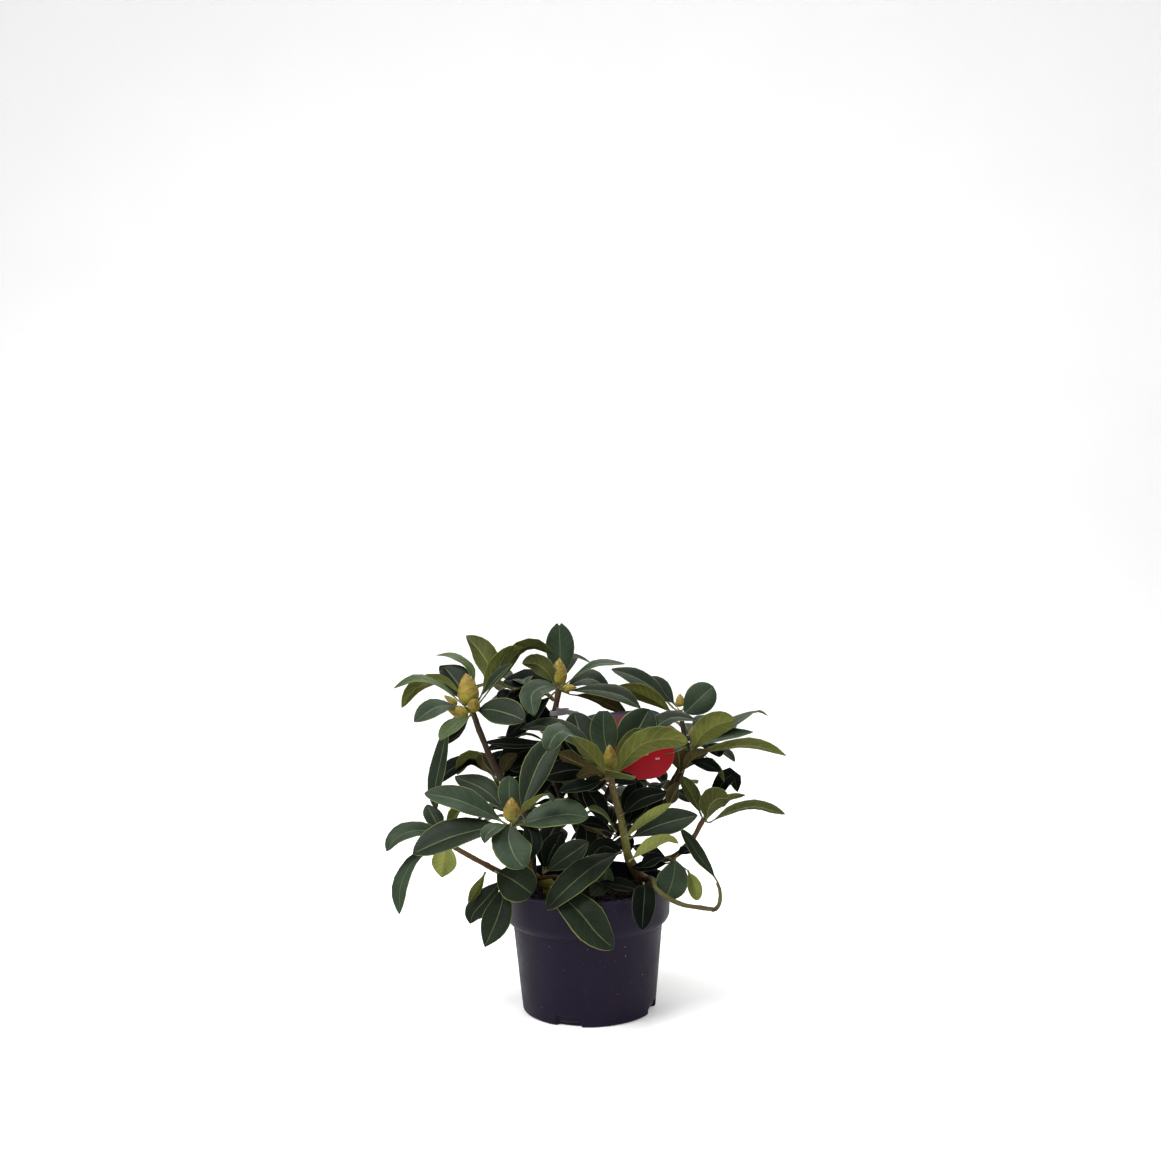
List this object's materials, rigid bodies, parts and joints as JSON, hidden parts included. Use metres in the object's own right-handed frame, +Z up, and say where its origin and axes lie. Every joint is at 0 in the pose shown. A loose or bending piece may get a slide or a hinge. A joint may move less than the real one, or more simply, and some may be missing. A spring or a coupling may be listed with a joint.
{
  "type": "potted rhododendron",
  "caption": "Young evergreen shrub with open whorls of long leathery leaves on arching stems, fat flower buds and a plain tag, in a round tapered nursery pot.",
  "frame": {"origin": "centre of the pot's flat underside, on the surface that it stands on", "axes": "+Z up the plant, -Y towards the side that the picture shows, +X to its right"},
  "size_m": [0.4546, 0.3643, 0.4361],
  "materials": {
    "pot_plastic": "matt aubergine plastic, dusty",
    "peat": "moist dark peat",
    "bark": "thin brown bark",
    "young_bark": "green to red-brown young bark",
    "bud_scale": "overlapping downy scales, yellow-green to orange-brown",
    "leaf": "leathery leaf, blue-green above and olive below",
    "label_card": "plain printed card, red",
    "label_strap": "clear grey plastic strap"
  },
  "bodies": {
    "root": {"bough_back": "young_bark", "bough_back_left": "young_bark", "bough_back_right": "young_bark", "bough_back_upper": "young_bark", "bough_bent_lower": "young_bark", "bough_bent_upper": "young_bark", "bough_far_left": "young_bark", "bough_low_back": "young_bark", "bough_low_back_left": "young_bark", "bough_middle_left": "young_bark", "bough_right": "young_bark", "bough_top": "young_bark", "bough_upper_left": "young_bark", "bough_upper_right": "young_bark", "bough_upper_right_tip": "young_bark", "bud_centre": "bud_scale", "bud_front_left": "bud_scale", "bud_top": "bud_scale", "bud_upper_left": "bud_scale", "bud_upper_right": "bud_scale", "label_card": "label_card", "label_strap": "label_strap", "leaf_bent_shoot": "leaf", "leaf_centre_upright": "leaf", "leaf_far_left_low": "leaf", "leaf_front_long": "leaf", "leaf_hanging_left": "leaf", "leaf_over_rim": "leaf", "leaf_rim_front": "leaf", "leaf_top_upright": "leaf", "leaves_back": "leaf", "leaves_back_left": "leaf", "leaves_back_right": "leaf", "leaves_back_upper": "leaf", "leaves_centre": "leaf", "leaves_far_left": "leaf", "leaves_front": "leaf", "leaves_front_left": "leaf", "leaves_low_back": "leaf", "leaves_low_back_left": "leaf", "leaves_low_right": "leaf", "leaves_middle_left": "leaf", "leaves_right": "leaf", "leaves_rim_left": "leaf", "leaves_stem_left": "leaf", "leaves_stem_right": "leaf", "leaves_top": "leaf", "leaves_upper_left": "leaf", "leaves_upper_right": "leaf", "leaves_upper_right_tip": "leaf", "pot": "pot_plastic", "root_ball": "peat", "stem_back": "bark", "stem_left": "bark", "stem_right": "bark"}
  },
  "joints": []
}
